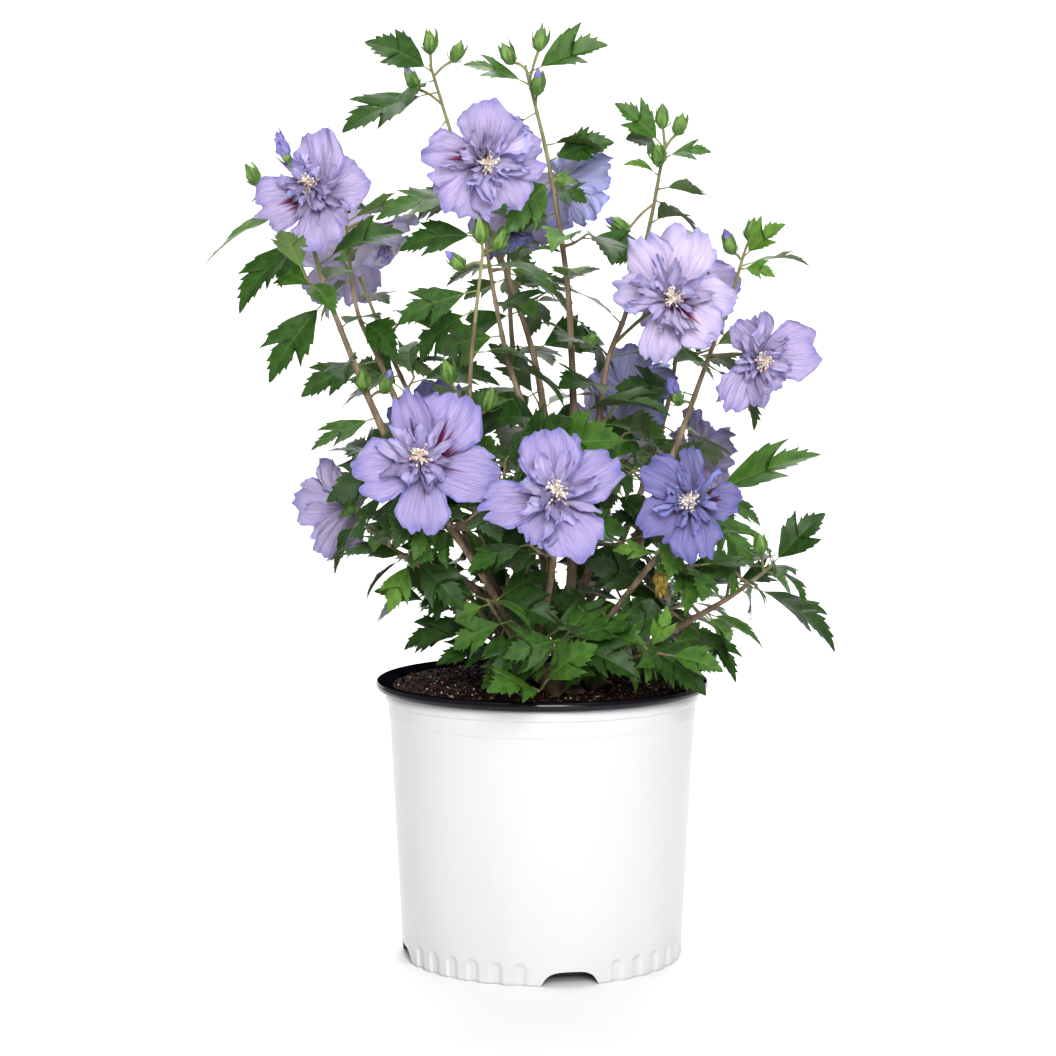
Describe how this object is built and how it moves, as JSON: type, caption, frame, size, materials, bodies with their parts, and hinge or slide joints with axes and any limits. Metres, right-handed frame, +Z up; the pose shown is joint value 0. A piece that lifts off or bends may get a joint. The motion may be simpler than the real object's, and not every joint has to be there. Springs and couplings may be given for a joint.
{
  "type": "potted rose of sharon",
  "caption": "Flowering shrub with double lavender-blue blooms, lobed green leaves and woody stems, growing in a tapered white nursery pot with a black rolled lip",
  "frame": {"origin": "centre of the pot's flat underside, on the ground", "axes": "+Z up the plant, -Y towards the front as pictured, +X to the right of the front"},
  "size_m": [0.517, 0.3999, 0.774],
  "materials": {
    "white_plastic": "satin white moulded plastic",
    "black_plastic": "glossy black plastic",
    "potting_mix": "moist crumbled bark with white specks",
    "old_bark": "rough grey-brown bark",
    "young_bark": "smooth beige-brown bark",
    "foliage": "leaves, buds and soft petals"
  },
  "bodies": {
    "root": {"centre_bough": "young_bark", "centre_fill_leaves": "foliage", "centre_tall_leaves": "foliage", "far_right_bough": "young_bark", "far_right_leaves": "foliage", "front_bough": "young_bark", "front_centre_leaves": "foliage", "front_left_bough": "young_bark", "front_left_leaves": "foliage", "front_left_skirt_leaves": "foliage", "front_right_bough": "young_bark", "front_right_leaves": "foliage", "front_right_skirt_leaves": "foliage", "front_skirt_leaves": "foliage", "left_bough": "young_bark", "left_fill_leaves": "foliage", "left_low_bough": "young_bark", "left_low_leaves": "foliage", "left_rear_bough": "young_bark", "left_rear_leaves": "foliage", "left_skirt_leaves": "foliage", "left_tall_leaves": "foliage", "main_stem": "old_bark", "mid_bough": "young_bark", "mid_left_bough": "young_bark", "mid_left_leaves": "foliage", "mid_tall_leaves": "foliage", "pot": "white_plastic", "pot_rim": "black_plastic", "pruned_stub": "young_bark", "rear_bough": "young_bark", "rear_fill_leaves": "foliage", "rear_left_bough": "young_bark", "rear_left_leaves": "foliage", "rear_left_skirt_leaves": "foliage", "rear_right_bough": "young_bark", "rear_right_leaves": "foliage", "rear_right_skirt_leaves": "foliage", "rear_skirt_leaves": "foliage", "rear_stem": "old_bark", "rear_tall_leaves": "foliage", "right_bough": "young_bark", "right_fill_leaves": "foliage", "right_low_bough": "young_bark", "right_low_leaves": "foliage", "right_mid_leaves": "foliage", "right_skirt_leaves": "foliage", "right_stem": "old_bark", "right_tall_leaves": "foliage", "soil": "potting_mix", "thin_stem": "old_bark", "top_left_bough": "young_bark", "top_left_leaves": "foliage"}
  },
  "joints": []
}
